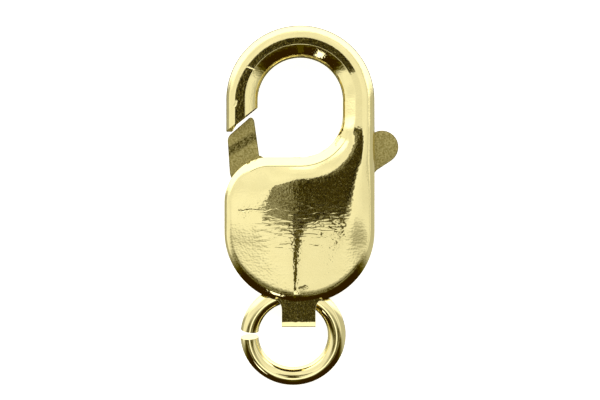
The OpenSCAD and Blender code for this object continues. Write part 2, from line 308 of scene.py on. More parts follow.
def smoothed(z, xy, faces, free, rounds):
    """Evens out heights where the free points lie, as the die's polish does. The face's own
    slope is taken out of each mean, so an uneven net doesn't dent a sloping face."""
    pairs = {(min(f[k], f[k - 1]), max(f[k], f[k - 1])) for f in faces for k in range(len(f))}
    pairs = np.array(sorted(pairs))
    a, b = np.concatenate([pairs[:, 0], pairs[:, 1]]), np.concatenate([pairs[:, 1], pairs[:, 0]])
    dx, dy = (xy[b] - xy[a]).T

    def total(v):
        return np.bincount(a, weights=v, minlength=len(z))

    number = np.maximum(np.bincount(a, minlength=len(z)), 1)
    xx, cross, yy = total(dx * dx), total(dx * dy), total(dy * dy)
    det = xx * yy - cross ** 2 + 1e-12
    for _ in range(rounds):
        dz = z[b] - z[a]
        xz, yz = total(dx * dz), total(dy * dz)
        slope_x, slope_y = (xz * yy - yz * cross) / det, (yz * xx - xz * cross) / det
        shift = total(dz) - slope_x * total(dx) - slope_y * total(dy)
        z = np.where(free, z + 0.5 * shift / number, z)
    return z


sheet_xy, sheet_in, owner, sheet_faces = blank()
seam = sheet_in < 0


def pressed(back):
    """Heights of all the sheet's points in the front or the back shell."""
    z = levels(sheet_xy[:, 0], sheet_xy[:, 1], np.maximum(sheet_in, 0), EDGE_VALUES[:, owner], back)
    z = smoothed(z, sheet_xy, sheet_faces, sheet_in > POLISH_FROM, POLISH_ROUNDS)
    z[seam] = 0
    return z


front_z, back_z = pressed(False), pressed(True)

blank_mesh = bpy.data.meshes.new("blank")
blank_mesh.from_pydata([home(x, y, 0) for x, y in sheet_xy], [], sheet_faces)
for name, values in (("front_lift", front_z), ("back_lift", back_z)):
    layer = blank_mesh.attributes.new(name, "FLOAT", "POINT")
    layer.data.foreach_set("value", (values / HALF).astype(np.float32))


def colour(hex_value):
    """sRGB hex to linear RGBA."""
    parts = [int(hex_value[i:i + 2], 16) / 255 for i in (1, 3, 5)]
    return tuple(c / 12.92 if c <= 0.04045 else ((c + 0.055) / 1.055) ** 2.4 for c in parts) + (1,)


def add(tree, kind, inputs=None, **settings):
    """Adds a node with its settings, and sets or links its inputs by name or number."""
    node = tree.nodes.new(kind)
    for key, value in settings.items():
        setattr(node, key, value)
    for key, value in (inputs or {}).items():
        socket = node.inputs[key]
        if isinstance(value, bpy.types.NodeSocket):
            tree.links.new(value, socket)
        else:
            socket.default_value = value
    return node


def new_material(name):
    """A material with an empty tree, and the node output that says where a point lies."""
    mat = bpy.data.materials.new(name)
    mat.use_nodes = True
    mat.node_tree.nodes.clear()
    return mat, mat.node_tree, add(mat.node_tree, "ShaderNodeTexCoord").outputs["Object"]


def nick(tree, spot, x, y, angle, length, width):
    """1 in the middle of a short groove and 0 off it."""
    moved = add(tree, "ShaderNodeMapping", {"Vector": spot, "Location": home(x, y, 0),
                                            "Rotation": (0, 0, math.radians(angle))}, vector_type="TEXTURE")
    part = add(tree, "ShaderNodeSeparateXYZ", {0: moved.outputs[0]})
    masks = []
    for out, full, none in ((0, length * 0.3, length * 0.5), (1, 0, width * 0.5)):
        off = add(tree, "ShaderNodeMath", {0: part.outputs[out]}, operation="ABSOLUTE")
        masks.append(add(tree, "ShaderNodeMapRange", {
            0: off.outputs[0], 1: full * MM, 2: none * MM, 3: 1.0, 4: 0.0}, interpolation_type="SMOOTHSTEP"))
    return add(tree, "ShaderNodeMath", {0: masks[0].outputs[0], 1: masks[1].outputs[0]},
               operation="MULTIPLY").outputs[0]


# The scratches and the dent. Columns: x and y of the middle, angle, length and width.
NICKS = [
    (-2.44, -5.5, 2, 1.3, 0.13),
    (-1.95, -5.52, -3, 0.6, 0.14),
    (0.14, -9.36, 20, 0.55, 0.22),
    (-2.45, 1.55, -15, 0.5, 0.1),
    (1.86, -2.07, 60, 0.6, 0.12),
    (-3.2, -0.2, 70, 0.35, 0.1)]
# How far their lines waver.
SHAKE = 0.14


def polished_gold():
    """Thin gold plate on stamped, tumbled brass: a bright mirror with the fine orange
    peel that tumbling leaves, which breaks reflected edges into grain."""
    mat, tree, spot = new_material("polished_gold_plate")
    # Every scale is in grains to a mm. The orange peel's grains are 0.1 mm, drawn a little
    # coarser than the real one's.
    peel = add(tree, "ShaderNodeTexNoise", {"Vector": spot, "Scale": 10 / MM, "Detail": 0.0})
    ripple = add(tree, "ShaderNodeTexNoise", {"Vector": spot, "Scale": 1.7 / MM, "Detail": 1.0})
    # Stretching the sheet over the die wrinkles it across, most where the face bends down.
    stretch = add(tree, "ShaderNodeMapping", {"Vector": spot, "Scale": (1.5 / MM, 5.8 / MM, 1.5 / MM)})
    wrinkle = add(tree, "ShaderNodeTexNoise", {"Vector": stretch.outputs[0], "Scale": 1.0, "Detail": 1.0,
                                               "Distortion": 0.6})
    at = add(tree, "ShaderNodeSeparateXYZ", {0: spot})
    across, along = at.outputs[0], at.outputs[1]
    top, mid, low = (home(0, v, 0)[1] for v in (-4.5, -6.0, -7.9))
    bent = add(tree, "ShaderNodeMapRange", {0: along, 1: top, 2: mid, 3: 0.15, 4: 1.0}).outputs[0]
    ends = add(tree, "ShaderNodeMapRange", {0: along, 1: low, 2: mid, 3: 0.12, 4: 1.0}).outputs[0]
    bent = add(tree, "ShaderNodeMath", {0: bent, 1: ends}, operation="MULTIPLY").outputs[0]
    off = add(tree, "ShaderNodeMath", {0: across, 1: home(0.2, 0, 0)[0]}, operation="SUBTRACT")
    off = add(tree, "ShaderNodeMath", {0: off.outputs[0]}, operation="ABSOLUTE")
    flank = add(tree, "ShaderNodeMapRange", {
        0: off.outputs[0], 1: 2.1 * MM, 2: 2.6 * MM, 3: 1.0, 4: 0.0}).outputs[0]
    bent = add(tree, "ShaderNodeMath", {0: bent, 1: flank}, operation="MULTIPLY").outputs[0]
    wrinkle = add(tree, "ShaderNodeMath", {0: wrinkle.outputs[0], 1: bent}, operation="MULTIPLY")
    calm = add(tree, "ShaderNodeMapRange", {0: bent, 1: 0.2, 2: 0.9, 3: 1.0, 4: 0.35})
    peel = add(tree, "ShaderNodeMath", {0: peel.outputs[0], 1: calm.outputs[0]}, operation="MULTIPLY")
    bump = add(tree, "ShaderNodeBump", {"Strength": 1.0, "Distance": 0.003 * MM, "Height": peel.outputs[0]})
    bump = add(tree, "ShaderNodeBump", {"Strength": 1.0, "Distance": 0.003 * MM, "Height": ripple.outputs[0],
                                        "Normal": bump.outputs[0]})
    bump = add(tree, "ShaderNodeBump", {"Strength": 1.0, "Distance": 0.021 * MM, "Height": wrinkle.outputs[0],
                                        "Normal": bump.outputs[0]})
    # A few scratches from wear, and a dent over the tail.
    shake = add(tree, "ShaderNodeTexNoise", {"Vector": spot, "Scale": 5 / MM, "Detail": 1.0})
    shake = add(tree, "ShaderNodeVectorMath", {0: shake.outputs[1], 3: SHAKE * MM}, operation="SCALE")
    shaken = add(tree, "ShaderNodeVectorMath", {0: spot, 1: shake.outputs[0]}, operation="ADD").outputs[0]
    shaken = add(tree, "ShaderNodeVectorMath", {0: shaken, 1: (SHAKE * MM / 2,) * 3},
                 operation="SUBTRACT").outputs[0]
    groove = None
    for place in NICKS:
        mask = nick(tree, shaken, *place)
        groove = mask if groove is None else add(tree, "ShaderNodeMath", {0: groove, 1: mask},
                                                 operation="MAXIMUM").outputs[0]
    bump = add(tree, "ShaderNodeBump", {"Strength": 1.0, "Distance": 0.024 * MM, "Height": groove,
                                        "Normal": bump.outputs[0]}, invert=True)
    tone = add(tree, "ShaderNodeValToRGB", {"Fac": ripple.outputs[0]})
    tone.color_ramp.elements[0].color = colour("#f3e7ab")
    tone.color_ramp.elements[1].color = colour("#f8edb4")
    shader = add(tree, "ShaderNodeBsdfPrincipled", {
        "Base Color": tone.outputs[0], "Metallic": 1.0, "Roughness": 0.07, "Normal": bump.outputs[0]})
    add(tree, "ShaderNodeOutputMaterial", {"Surface": shader.outputs[0]})
    return mat


gold = polished_gold()


def press_tree():
    """Presses the flat blank into the front and back shells and joins them at the seam."""
    tree = bpy.data.node_groups.new("press_shells", "GeometryNodeTree")
    face = tree.interface
    face.new_socket("Blank", in_out="INPUT", socket_type="NodeSocketGeometry")
    face.new_socket("Half thickness", in_out="INPUT", socket_type="NodeSocketFloat")
    face.new_socket("Seam gap", in_out="INPUT", socket_type="NodeSocketFloat")
    face.new_socket("Finish", in_out="INPUT", socket_type="NodeSocketMaterial")
    face.new_socket("Shells", in_out="OUTPUT", socket_type="NodeSocketGeometry")
    start = add(tree, "NodeGroupInput")
    halves = []
    for name, sign in (("front_lift", 1), ("back_lift", -1)):
        lift = add(tree, "GeometryNodeInputNamedAttribute", {"Name": name}, data_type="FLOAT")
        size = add(tree, "ShaderNodeMath", {0: lift.outputs[0], 1: start.outputs["Half thickness"]},
                   operation="MULTIPLY")
        way = add(tree, "ShaderNodeMath", {0: size.outputs[0], 1: sign}, operation="MULTIPLY")
        up = add(tree, "ShaderNodeCombineXYZ", {"Z": way.outputs[0]})
        moved = add(tree, "GeometryNodeSetPosition", {"Geometry": start.outputs["Blank"],
                                                      "Offset": up.outputs[0]})
        halves.append(moved.outputs[0])
    turned = add(tree, "GeometryNodeFlipFaces", {"Mesh": halves[1]})
    both = add(tree, "GeometryNodeJoinGeometry", {"Geometry": halves[0]})
    tree.links.new(turned.outputs[0], both.inputs[0])
    closed = add(tree, "GeometryNodeMergeByDistance", {"Geometry": both.outputs[0],
                                                       "Distance": start.outputs["Seam gap"]})
    real = add(tree, "GeometryNodeRealizeInstances", {"Geometry": closed.outputs[0]})
    done = add(tree, "GeometryNodeSetMaterial", {"Geometry": real.outputs[0],
                                                 "Material": start.outputs["Finish"]})
    add(tree, "NodeGroupOutput", {0: done.outputs[0]})
    return tree


def plain_mesh(obj, tree, values):
    """Runs a Geometry Nodes tree on an object and keeps the result as its plain mesh."""
    mod = obj.modifiers.new("made", "NODES")
    mod.node_group = tree
    for item in tree.interface.items_tree:
        if item.item_type == "SOCKET" and item.in_out == "INPUT" and item.name in values:
            mod[item.identifier] = values[item.name]
    made = obj.evaluated_get(bpy.context.evaluated_depsgraph_get())
    mesh = bpy.data.meshes.new_from_object(made)
    obj.modifiers.remove(mod)
    obj.data = mesh
    return mesh


shells = bpy.data.objects.new("clasp_shells", blank_mesh)
bpy.context.scene.collection.objects.link(shells)
plain_mesh(shells, press_tree(), {"Half thickness": HALF * MM, "Seam gap": 2e-7, "Finish": gold})


def face_outwards(bm):
    """Turns a shell's faces away from the height of the seam."""
    bmesh.ops.recalc_face_normals(bm, faces=bm.faces)
    if sum(f.calc_area() * f.normal.z * (f.calc_center_median().z - HALF * MM) for f in bm.faces) < 0:
        bmesh.ops.reverse_faces(bm, faces=bm.faces)


work = bmesh.new()
work.from_mesh(shells.data)
face_outwards(work)


def in_mm(v):
    """The way back from home(): a point of the frame in mm from the hook's middle."""
    return v.x / MM + BOX_X, v.y / MM + BOX_Y, v.z / MM - HALF


def cut_open(low, high, inside):
    """Takes out the wall between two heights wherever inside(x, y) holds."""
    for z in (low, high):
        faces = [f for f in work.faces if any(inside(*in_mm(v.co)[:2]) for v in f.verts)
                 and min(in_mm(v.co)[2] for v in f.verts) < z < max(in_mm(v.co)[2] for v in f.verts)]
        verts = {v for f in faces for v in f.verts}
        edges = {e for f in faces for e in f.edges}
        bmesh.ops.bisect_plane(work, geom=list(verts) + list(edges) + faces,
                               plane_co=home(0, 0, z), plane_no=(0, 0, 1), dist=1e-8)
    gone = [f for f in work.faces if low < in_mm(f.calc_center_median())[2] < high
            and inside(*in_mm(f.calc_center_median())[:2])]
    bmesh.ops.delete(work, geom=gone, context="FACES")


def jaw_side(x, y):
    """Where the jaw comes out: along the pouch's top and round its left corner."""
    return (-3.9 <= x < 0.2 and TOP - 1.4 < y < TOP + 0.3) or (x < -2.6 and -4.35 < y < TOP + 0.3)


def thumb_side(x, y):
    """Where the thumb tab comes out: along the right side."""
    return x > 2.9 and -6.4 < y < -1.45


def ring_side(x, y):
    """Where the ring comes out: across the tail."""
    return -2.2 < x < 1.5 and y < -9.2


# The lever is 1 mm thick, and its two openings are a little higher. The ring's opening
# reaches further down, the way the ring leans.
LEVER_GAP, RING_GAP = 0.58, (-1.05, 0.66)
cut_open(-LEVER_GAP, LEVER_GAP, jaw_side)
cut_open(-LEVER_GAP, LEVER_GAP, thumb_side)
cut_open(*RING_GAP, ring_side)

# The hook's end is sawn off on a slant where the lever's jaw meets it.
END_SLANT, END_DROP = math.radians(38), 0.37
slant = Vector((math.cos(END_SLANT), math.sin(END_SLANT), 0))
corner = Vector(home(-EYE_R, -END_DROP, 0))
leg = [f for f in work.faces if in_mm(f.calc_center_median())[0] < -1.2
       and -2.7 < in_mm(f.calc_center_median())[1] < 0.3]
leg_geom = list({v for f in leg for v in f.verts}) + list({e for f in leg for e in f.edges}) + leg
bmesh.ops.bisect_plane(work, geom=leg_geom, plane_co=corner, plane_no=(-slant.y, slant.x, 0),
                       clear_inner=True, dist=1e-8)
bmesh.ops.delete(work, geom=[v for v in work.verts if not v.link_faces], context="VERTS")
face_outwards(work)
work.to_mesh(shells.data)
work.free()


def give_thickness(obj):
    """Turns a surface into a sheet, inwards from its face."""
    mod = obj.modifiers.new("sheet", "SOLIDIFY")
    mod.thickness = SHEET * MM
    mod.offset = -1
    mod.use_rim = True
    mesh = bpy.data.meshes.new_from_object(obj.evaluated_get(bpy.context.evaluated_depsgraph_get()))
    obj.modifiers.remove(mod)
    obj.data = mesh


give_thickness(shells)
shells.data.shade_smooth()
shells.data.set_sharp_from_angle(angle=math.radians(26))
shells.data.materials.clear()
shells.data.materials.append(gold)
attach(shells, "clasp")
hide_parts("body")

# The tail strap that holds the ring.
# The strip's narrow middle, folded flat round the ring and soldered to both shells at
# the tail. It is the same gilt sheet, with sheared edges that catch the light.

# Its middle, half its width, and how much wider each side is at the root.
STRAP_X, STRAP_W, FLARE = -0.08, 0.84, 0.34
# The heights of its front and back runs, and how far the fold reaches.
FRONT, BACK, FOLD_END = 0.92, -1.37, -11.32
# The root's flare ends FLARE_RUN below FLARE_Y.
FLARE_Y, FLARE_RUN = -9.95, 0.55
# In Y: where the strap starts, where its front bends, where that bend turns down sharply,
# and where the fold has come round to the back.
START_Y, BEND_Y, SHARP_Y, ROUND_Y = -9.75, -11.02, -11.27, -10.92
STRAP_COLUMNS = 18


def rounded(obj, width, segments, material, edge_burr_and_shade=None):
    """Breaks the sharp edges and shades the result smooth."""
    mod = obj.modifiers.new("edge", "BEVEL")
    mod.width = width
    mod.segments = segments
    mod.limit_method = "ANGLE"
    mod.angle_limit = math.radians(45)
    obj.data.materials.clear()
    obj.data.materials.append(material)
    # A second material goes on the bevels: on the lever, burrs in its roughness and bumps, and painted shade
    # in its brown.
    if edge_burr_and_shade:
        obj.data.materials.append(edge_burr_and_shade)
        mod.material = 1
    mesh = bpy.data.meshes.new_from_object(obj.evaluated_get(bpy.context.evaluated_depsgraph_get()))
    obj.modifiers.remove(mod)
    obj.data = mesh
    mesh.shade_smooth()
    mesh.set_sharp_from_angle(angle=math.radians(35))


def strap_path():
    """The strap's side view from the front shell round the fold to the back shell."""
    out = [(y, FRONT) for y in np.arange(START_Y, BEND_Y, -0.05)]
    # The fold starts with a flat bend of 18 degrees and then turns down sharply.
    out += [(-11.06, FRONT - 0.004), (-11.16, FRONT - 0.036), (SHARP_Y, FRONT - 0.072)]
    for u in np.radians(np.linspace(20, 90, 6)):
        out.append((SHARP_Y - 0.05 * math.sin(u), FRONT - 0.072 - 0.07 * (1 - math.cos(u))))
    out += [(FOLD_END, z) for z in np.linspace(FRONT - 0.18, -0.55, 12)]
    for u in np.linspace(90, 0, 12)[1:]:
        out.append((ROUND_Y - 0.4 * math.sin(math.radians(u)), -0.55 - 0.4 * math.cos(math.radians(u))))
    for y in np.arange(-10.88, -9.9, 0.04):
        out.append((y, -0.95 + (BACK + 0.95) * float(ramp(y, -10.75, -9.95))))
    out += [(-9.85, -1.3), (-9.75, -1.2)]
    return out


sheet = bmesh.new()
grid = []
# Columns lie closer together towards the sheared edges.
shares = np.sin(np.linspace(-90, 90, STRAP_COLUMNS + 1) * math.pi / 180)
for y, z in strap_path():
    q = min(max((FLARE_Y - y) / FLARE_RUN, 0), 1)
    half = STRAP_W + FLARE * (1 - math.sqrt(1 - (1 - q) ** 2)) - 2 * max(y - FLARE_Y, 0)
    grid.append([sheet.verts.new(home(STRAP_X + half * c, y, z)) for c in shares])
for r in range(len(grid) - 1):
    for c in range(STRAP_COLUMNS):
        sheet.faces.new((grid[r][c], grid[r + 1][c], grid[r + 1][c + 1], grid[r][c + 1]))
strap_mesh = bpy.data.meshes.new("tail_strap")
sheet.to_mesh(strap_mesh)
sheet.free()
strap = bpy.data.objects.new("tail_strap", strap_mesh)
bpy.context.scene.collection.objects.link(strap)
give_thickness(strap)
rounded(strap, 0.04 * MM, 2, gold)
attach(strap, "clasp")

# The sprung lever with its jaw and thumb tab.
# A flat brass plate 1 mm thick, blanked and plated over its matt cut surface. It turns
# on the pin between the shells.


def satin_gold():
    """Gold plate over a blasted plate: it scatters light, so it looks flat olive gold
    with a fine grain, and a slanted band of painted shade darkens it across the jaw."""
    mat, tree, spot = new_material("satin_gold_plate")
    grain = add(tree, "ShaderNodeTexNoise", {
        "Vector": spot, "Scale": 11 / MM, "Detail": 1.0, "Roughness": 0.6})
    patch = add(tree, "ShaderNodeTexNoise", {"Vector": spot, "Scale": 0.9 / MM, "Detail": 2.0})
    # A band of painted shade crosses the jaw on a slant. It is dark for 0.12 mm to each side of its
    # middle and fades out at 0.3 mm.
    slope = math.radians(-30)
    band = add(tree, "ShaderNodeMapping", {"Vector": spot, "Rotation": (0, 0, slope)})
    across = add(tree, "ShaderNodeSeparateXYZ", {0: band.outputs[0]})
    middle = Matrix.Rotation(slope, 3, "Z") @ Vector(home(-2.86, -2.17, 0))
    off = add(tree, "ShaderNodeMath", {0: across.outputs[1], 1: middle.y}, operation="SUBTRACT")
    off = add(tree, "ShaderNodeMath", {0: off.outputs[0]}, operation="ABSOLUTE")
    shade_band = add(tree, "ShaderNodeMapRange", {0: off.outputs[0], 1: 0.12 * MM, 2: 0.3 * MM, 3: 1.0, 4: 0.0},
               interpolation_type="SMOOTHSTEP")
    pits = add(tree, "ShaderNodeTexNoise", {"Vector": spot, "Scale": 17 / MM, "Detail": 0.0})
    rough = add(tree, "ShaderNodeMapRange", {0: pits.outputs[0], 1: 0.3, 2: 0.65, 3: 0.3, 4: 1.0})
    # The painted shade in the band, broken up by the pits.
    dark = add(tree, "ShaderNodeMath", {0: shade_band.outputs[0], 1: rough.outputs[0]}, operation="MULTIPLY")
    tone = add(tree, "ShaderNodeValToRGB", {"Fac": grain.outputs[0]})
    tone.color_ramp.elements[0].position = 0.3
    tone.color_ramp.elements[0].color = colour("#8e8248")
    tone.color_ramp.elements[1].position = 0.7
    tone.color_ramp.elements[1].color = colour("#c3b77b")
    shade = add(tree, "ShaderNodeMix", {"Factor": dark.outputs[0], 6: tone.outputs[0],
                                        7: colour("#4d4415")}, data_type="RGBA")
    height = add(tree, "ShaderNodeMath", {0: patch.outputs[0], 1: grain.outputs[0]}, operation="ADD")
    bump = add(tree, "ShaderNodeBump", {"Strength": 0.6, "Distance": 0.006 * MM, "Height": height.outputs[0]})
    shader = add(tree, "ShaderNodeBsdfPrincipled", {
        "Base Color": shade.outputs[2], "Metallic": 1.0, "Roughness": 0.48, "Normal": bump.outputs[0]})
    add(tree, "ShaderNodeOutputMaterial", {"Surface": shader.outputs[0]})
    return mat


def burr_and_shade_edge():
    """The plate's burred edges: rough and bumpy, with a brown base colour that is painted shade, so they
    outline it.
    """
    mat, tree, spot = new_material("burr_and_shade_edge")
    burr = add(tree, "ShaderNodeTexNoise", {"Vector": spot, "Scale": 7 / MM, "Detail": 1.0})
    tone = add(tree, "ShaderNodeValToRGB", {"Fac": burr.outputs[0]})
    tone.color_ramp.elements[0].color = colour("#3b2e00")
    tone.color_ramp.elements[1].color = colour("#63571d")
    bump = add(tree, "ShaderNodeBump", {"Strength": 0.8, "Distance": 0.005 * MM, "Height": burr.outputs[0]})
    shader = add(tree, "ShaderNodeBsdfPrincipled", {
        "Base Color": tone.outputs[0], "Metallic": 1.0, "Roughness": 0.5, "Normal": bump.outputs[0]})
    add(tree, "ShaderNodeOutputMaterial", {"Surface": shader.outputs[0]})
    return mat


satin = satin_gold()


def copy_of(node, name):
    """A piece with a node's own shape, its loose triangles merged into faces."""
    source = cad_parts[node]
    bm = bmesh.new()
    bm.from_mesh(source.data)
    bmesh.ops.remove_doubles(bm, verts=bm.verts, dist=2e-7)
    bmesh.ops.dissolve_limit(bm, angle_limit=math.radians(0.5), verts=bm.verts, edges=bm.edges)
    bmesh.ops.recalc_face_normals(bm, faces=bm.faces)
    mesh = bpy.data.meshes.new(name)
    bm.to_mesh(mesh)
    bm.free()
    obj = bpy.data.objects.new(name, mesh)
    bpy.context.scene.collection.objects.link(obj)
    return obj


lever = copy_of("lever", "lever_plate")
# The jaw's inner side is moved to the right at JAW_Y by JAW_RIGHT, so that it slants, and
# its nose is drawn back by NOSE_BACK, a little less on the inner side.
JAW_X, JAW_Y, JAW_RIGHT = -1.7, [-3.4, -2.9, -0.8], [0, 0.12, -0.3]
NOSE_BACK, NOSE_LESS = 0.27, 0.03
for v in lever.data.vertices:
    x, y, _ = in_mm(v.co)
    if x < JAW_X and y > JAW_Y[0]:
        over = float(np.clip((x + 3.6) / 1.5, 0, 1.1))
        v.co.x += over * MM * float(np.interp(y, JAW_Y, JAW_RIGHT))
        v.co.y -= (NOSE_BACK - NOSE_LESS * over) * MM * float(ramp(y, -2.8, -1.6))
# The bevels get the burred edge material, whose brown is painted shade along the outline.
rounded(lever, 0.08 * MM, 3, satin, burr_and_shade_edge())
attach(lever, "lever")
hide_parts("lever")

# The pivot pin, hidden between the shells.
# A plain length of drawn brass rod. It keeps its turned-off ends and its dull skin.


def drawn_brass():
    """Drawn, untumbled brass: duller and redder than the plate, with fine draw lines."""
    mat, tree, spot = new_material("drawn_brass")
    lines = add(tree, "ShaderNodeMapping", {"Vector": spot, "Scale": (9 / MM, 9 / MM, 0.3 / MM)})
    draw = add(tree, "ShaderNodeTexNoise", {"Vector": lines.outputs[0], "Scale": 1.0, "Detail": 2.0})
    bump = add(tree, "ShaderNodeBump", {"Strength": 0.4, "Distance": 0.004 * MM, "Height": draw.outputs[0]})
    shader = add(tree, "ShaderNodeBsdfPrincipled", {
        "Base Color": colour("#a89c62"), "Metallic": 1.0, "Roughness": 0.35, "Normal": bump.outputs[0]})
    add(tree, "ShaderNodeOutputMaterial", {"Surface": shader.outputs[0]})
    return mat


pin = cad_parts["pivot_pin"]
pin.data.materials.clear()
pin.data.materials.append(drawn_brass())

# The jump ring through the folded strap.
# Round brass wire 0.9 mm thick wound on a rod, sawn off to one turn and plated. The
# saw leaves a narrow slit with flat ends.

# The middle of the wire lies RING_R from the ring's middle. The slit is SLIT wide between
# the wire's ends, at SLIT_AT degrees clockwise from the ring's far end.
RING_R, WIRE, SLIT, SLIT_AT = 2.19, 0.9, 0.36, 92
# The ring's near end, in the strap. It leans down from there until it touches the table.
RING_X, RING_Y = -0.36, -9.67
RING_TILT = math.asin((HALF - WIRE / 2) / (2 * RING_R))


def ring_tree():
    """A round wire swept along an open circle."""
    tree = bpy.data.node_groups.new("wind_ring", "GeometryNodeTree")
    face = tree.interface
    face.new_socket("Start", in_out="INPUT", socket_type="NodeSocketGeometry")
    for name in ("Ring radius", "Wire radius", "First end", "Turn", "Tilt"):
        face.new_socket(name, in_out="INPUT", socket_type="NodeSocketFloat")
    face.new_socket("Top", in_out="INPUT", socket_type="NodeSocketVector")
    face.new_socket("Finish", in_out="INPUT", socket_type="NodeSocketMaterial")
    face.new_socket("Ring", in_out="OUTPUT", socket_type="NodeSocketGeometry")
    start = add(tree, "NodeGroupInput")
    arc = add(tree, "GeometryNodeCurveArc", {"Resolution": 260}, mode="RADIUS")
    for socket, name in (("Radius", "Ring radius"), ("Start Angle", "First end"), ("Sweep Angle", "Turn")):
        tree.links.new(start.outputs[name], arc.inputs[socket])
    wire = add(tree, "GeometryNodeCurvePrimitiveCircle", {"Resolution": 56}, mode="RADIUS")
    tree.links.new(start.outputs["Wire radius"], wire.inputs["Radius"])
    swept = add(tree, "GeometryNodeCurveToMesh", {"Curve": arc.outputs[0], "Profile Curve": wire.outputs[0],
                                                  "Fill Caps": True})
    down = add(tree, "ShaderNodeMath", {0: start.outputs["Ring radius"], 1: -1.0}, operation="MULTIPLY")
    place = add(tree, "ShaderNodeCombineXYZ", {"Y": down.outputs[0]})
    hung = add(tree, "GeometryNodeTransform", {"Geometry": swept.outputs[0], "Translation": place.outputs[0]})
    turn = add(tree, "ShaderNodeCombineXYZ", {"X": start.outputs["Tilt"]})
    leant = add(tree, "GeometryNodeTransform", {"Geometry": hung.outputs[0], "Rotation": turn.outputs[0],
                                                "Translation": start.outputs["Top"]})
    real = add(tree, "GeometryNodeRealizeInstances", {"Geometry": leant.outputs[0]})
    done = add(tree, "GeometryNodeSetMaterial", {"Geometry": real.outputs[0],
                                                 "Material": start.outputs["Finish"]})
    add(tree, "NodeGroupOutput", {0: done.outputs[0]})
    return tree


def bright_wire():
    """Drawn and plated wire: a clean mirror, a little uneven and with a very fine grain."""
    mat, tree, spot = new_material("plated_drawn_wire")
    peel = add(tree, "ShaderNodeTexNoise", {"Vector": spot, "Scale": 6 / MM, "Detail": 3.0, "Roughness": 0.6})
    wave = add(tree, "ShaderNodeTexNoise", {"Vector": spot, "Scale": 0.9 / MM, "Detail": 2.0})
    bump = add(tree, "ShaderNodeBump", {"Strength": 1.0, "Distance": 0.0012 * MM, "Height": peel.outputs[0]})
    bump = add(tree, "ShaderNodeBump", {"Strength": 1.0, "Distance": 0.008 * MM, "Height": wave.outputs[0],
                                        "Normal": bump.outputs[0]})
    shader = add(tree, "ShaderNodeBsdfPrincipled", {
        "Base Color": colour("#f8edb4"), "Metallic": 1.0, "Roughness": 0.06, "Normal": bump.outputs[0]})
    add(tree, "ShaderNodeOutputMaterial", {"Surface": shader.outputs[0]})
    return mat


ring = bpy.data.objects.new("jump_ring_wire", bpy.data.meshes.new("jump_ring_wire"))
bpy.context.scene.collection.objects.link(ring)
half_slit = math.asin(SLIT / 2 / RING_R)
plain_mesh(ring, ring_tree(), {
    "Ring radius": RING_R * MM, "Wire radius": WIRE / 2 * MM,
    "First end": math.radians(-90 - SLIT_AT) + half_slit, "Turn": 2 * math.pi - 2 * half_slit,
    "Tilt": RING_TILT, "Top": home(RING_X, RING_Y, 0), "Finish": bright_wire()})
bm = bmesh.new()
bm.from_mesh(ring.data)
bmesh.ops.remove_doubles(bm, verts=bm.verts, dist=1e-8)
bmesh.ops.recalc_face_normals(bm, faces=bm.faces)
bm.to_mesh(ring.data)
bm.free()
ring.data.shade_smooth()
ring.data.set_sharp_from_angle(angle=math.radians(50))
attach(ring, "jump_ring")
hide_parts("jump_ring")

# The white table and the light tent.
# The clasp lies on a white board under a round tent of white cloth, with a dark hole
# over it for the camera and dark gaps towards the tail.

bpy.ops.mesh.primitive_plane_add(size=0.6, location=(0, 0, 0))
table = bpy.context.object
table.name = "white_table"
# Matt board, overexposed: plain white with no shine.
white = bpy.data.materials.new("white_board")
white.use_nodes = True
white.node_tree.nodes.clear()
paper = add(white.node_tree, "ShaderNodeBsdfPrincipled", {
    "Base Color": colour("#fafaf8"), "Roughness": 0.8, "Specular IOR Level": 0.0,
    "Emission Color": (1, 1, 1, 1), "Emission Strength": 0.75})
add(white.node_tree, "ShaderNodeOutputMaterial", {"Surface": paper.outputs[0]})
table.data.materials.append(white)
# Only the tent shows in the metal.
table.visible_glossy = False

world = bpy.data.worlds.new("light_tent")
bpy.context.scene.world = world
world.use_nodes = True
tent = world.node_tree
tent.nodes.clear()
way = add(tent, "ShaderNodeTexCoord").outputs["Generated"]
axis = add(tent, "ShaderNodeSeparateXYZ", {0: way})
X, Y, Z = axis.outputs[0], axis.outputs[1], axis.outputs[2]
flat = add(tent, "ShaderNodeCombineXYZ", {"X": X, "Y": Y})
flat = add(tent, "ShaderNodeVectorMath", {0: flat.outputs[0]}, operation="NORMALIZE")
side = add(tent, "ShaderNodeSeparateXYZ", {0: flat.outputs[0]})
east, north = side.outputs[0], side.outputs[1]
# Folds in the cloth make the light a little uneven.
folds = add(tent, "ShaderNodeTexNoise", {"Vector": way, "Scale": 2.2, "Detail": 2.0})
light = add(tent, "ShaderNodeMapRange", {0: folds.outputs[0], 1: 0.3, 2: 0.7, 3: 0.86, 4: 1.1}).outputs[0]


def part_of(value, low, high):
    """1 where the value is past high, 0 before low, with a soft edge between."""
    if low < high:
        return add(tent, "ShaderNodeMapRange", {0: value, 1: low, 2: high, 3: 0.0, 4: 1.0},
                   interpolation_type="SMOOTHSTEP").outputs[0]
    return add(tent, "ShaderNodeMapRange", {0: value, 1: high, 2: low, 3: 1.0, 4: 0.0},
               interpolation_type="SMOOTHSTEP").outputs[0]


def hang(strength, *parts):
    """Hangs a panel of one brightness over what is there, where all its parts meet."""
    global light
    mask = parts[0]
    for p in parts[1:]:
        mask = add(tent, "ShaderNodeMath", {0: mask, 1: p}, operation="MULTIPLY").outputs[0]
    light = add(tent, "ShaderNodeMix", {0: mask, 2: light, 3: strength}, data_type="FLOAT").outputs[0]


def tilt(degrees):
    """Z of a direction this far from straight up."""
    return math.cos(math.radians(degrees))


cloth = add(tent, "ShaderNodeTexNoise", {"Vector": way, "Scale": 14.0, "Detail": 1.0}).outputs[0]
gloom = add(tent, "ShaderNodeMapRange", {0: cloth, 1: 0.42, 2: 0.62, 3: 0.1, 4: 0.36}).outputs[0]
